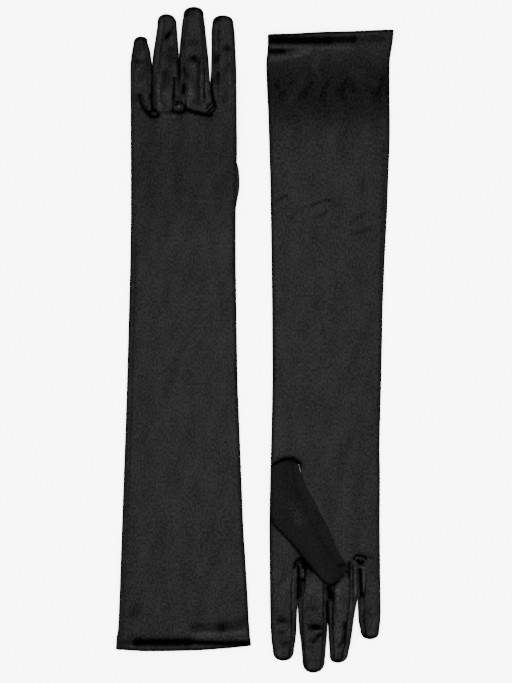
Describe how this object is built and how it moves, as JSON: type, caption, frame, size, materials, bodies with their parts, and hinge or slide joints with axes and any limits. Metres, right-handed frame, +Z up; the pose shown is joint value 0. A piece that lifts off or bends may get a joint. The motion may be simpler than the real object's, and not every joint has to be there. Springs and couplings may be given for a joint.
{
  "type": "opera gloves",
  "caption": "Long black satin opera gloves lying flat side by side, back up and palm up, with the thumb folded over the palm.",
  "frame": {"origin": "on the table, under the middle of the pair", "axes": "+Z up from the table, +Y along the gloves towards the fingertips of the glove that lies back up, +X across, from that glove to the one that lies palm up"},
  "size_m": [0.2482, 0.5981, 0.0133],
  "materials": {
    "satin_shell": "black stretch satin, soft broad sheen, fine lengthwise grain",
    "satin_fourchette": "black stretch satin, narrow strips between the fingers, seen along their edge",
    "satin_thumb": "black stretch satin, cut across the grain so that it looks darker",
    "satin_hem": "black stretch satin, wrong side of the cloth, matt"
  },
  "bodies": {
    "left_glove": {"left_back_panel": "satin_shell", "left_palm_panel": "satin_shell", "left_trank_seam": "satin_shell", "left_trank_fold": "satin_shell", "left_hem_band": "satin_hem"},
    "left_pinky": {"left_pinky_back": "satin_shell", "left_pinky_palm": "satin_shell", "left_pinky_outer_seam": "satin_shell", "left_pinky_fourchette_ring_side": "satin_fourchette"},
    "left_ring": {"left_ring_back": "satin_shell", "left_ring_palm": "satin_shell", "left_ring_fourchette_pinky_side": "satin_fourchette", "left_ring_fourchette_middle_side": "satin_fourchette"},
    "left_middle": {"left_middle_back": "satin_shell", "left_middle_palm": "satin_shell", "left_middle_fourchette_ring_side": "satin_fourchette", "left_middle_fourchette_index_side": "satin_fourchette"},
    "left_index": {"left_index_back": "satin_shell", "left_index_palm": "satin_shell", "left_index_fourchette_middle_side": "satin_fourchette", "left_index_outer_fold": "satin_shell"},
    "left_thumb": {"left_thumb_front": "satin_thumb", "left_thumb_back": "satin_thumb", "left_thumb_seam": "satin_thumb", "left_thumb_fold": "satin_thumb"},
    "right_glove": {"right_back_panel": "satin_shell", "right_palm_panel": "satin_shell", "right_trank_seam": "satin_shell", "right_trank_fold": "satin_shell", "right_hem_band": "satin_hem", "right_ring_root": "satin_shell", "right_middle_root": "satin_shell"},
    "right_pinky": {"right_pinky_back": "satin_shell", "right_pinky_palm": "satin_shell", "right_pinky_outer_seam": "satin_shell", "right_pinky_fourchette_ring_side": "satin_fourchette"},
    "right_ring": {"right_ring_back": "satin_shell", "right_ring_palm": "satin_shell", "right_ring_fourchette_pinky_side": "satin_fourchette", "right_ring_fourchette_middle_side": "satin_fourchette"},
    "right_middle": {"right_middle_back": "satin_shell", "right_middle_palm": "satin_shell", "right_middle_fourchette_ring_side": "satin_fourchette", "right_middle_fourchette_index_side": "satin_fourchette"},
    "right_index": {"right_index_back": "satin_shell", "right_index_palm": "satin_shell", "right_index_fourchette_middle_side": "satin_fourchette", "right_index_outer_fold": "satin_shell"},
    "right_thumb": {"right_thumb_front": "satin_thumb", "right_thumb_back": "satin_thumb", "right_thumb_seam": "satin_thumb", "right_thumb_fold": "satin_thumb"}
  },
  "joints": [
    {"name": "left_pinky_fold", "type": "hinge", "parent": "left_glove", "child": "left_pinky", "pos_m": [-0.1009, 0.20435, 0.0133], "axis": [1, 0, 0], "range_deg": [0, 60]},
    {"name": "left_ring_fold", "type": "hinge", "parent": "left_glove", "child": "left_ring", "pos_m": [-0.0789, 0.20435, 0.0133], "axis": [1, 0, 0], "range_deg": [0, 60]},
    {"name": "left_middle_fold", "type": "hinge", "parent": "left_glove", "child": "left_middle", "pos_m": [-0.0537, 0.20435, 0.0133], "axis": [1, 0, 0], "range_deg": [0, 60]},
    {"name": "left_index_fold", "type": "hinge", "parent": "left_glove", "child": "left_index", "pos_m": [-0.0285, 0.20435, 0.0133], "axis": [1, 0, 0], "range_deg": [0, 60]},
    {"name": "left_thumb_swing", "type": "hinge", "parent": "left_glove", "child": "left_thumb", "pos_m": [-0.0317, 0.129, 0.0056], "axis": [0, 0, -1], "range_deg": [0, 45]},
    {"name": "right_pinky_curl", "type": "hinge", "parent": "right_glove", "child": "right_pinky", "pos_m": [0.10284, -0.20629, 0.0074], "axis": [-1, 0.0093, 0], "range_deg": [0, 90]},
    {"name": "right_ring_curl", "type": "hinge", "parent": "right_glove", "child": "right_ring", "pos_m": [0.0794, -0.21757, 0.0074], "axis": [-1, 0.0093, 0], "range_deg": [0, 90]},
    {"name": "right_middle_curl", "type": "hinge", "parent": "right_glove", "child": "right_middle", "pos_m": [0.05423, -0.21734, 0.0074], "axis": [-1, 0.0093, 0], "range_deg": [0, 90]},
    {"name": "right_index_curl", "type": "hinge", "parent": "right_glove", "child": "right_index", "pos_m": [0.02809, -0.2056, 0.0074], "axis": [-1, 0.0093, 0], "range_deg": [0, 90]},
    {"name": "right_thumb_swing", "type": "hinge", "parent": "right_glove", "child": "right_thumb", "pos_m": [0.03224, -0.13029, 0.0077], "axis": [0, 0, -1], "range_deg": [0, 80]},
    {"name": "right_glove_lift", "type": "slide", "parent": "left_glove", "child": "right_glove", "axis": [0, 0, 1], "range_m": [0, 0.15]}
  ]
}
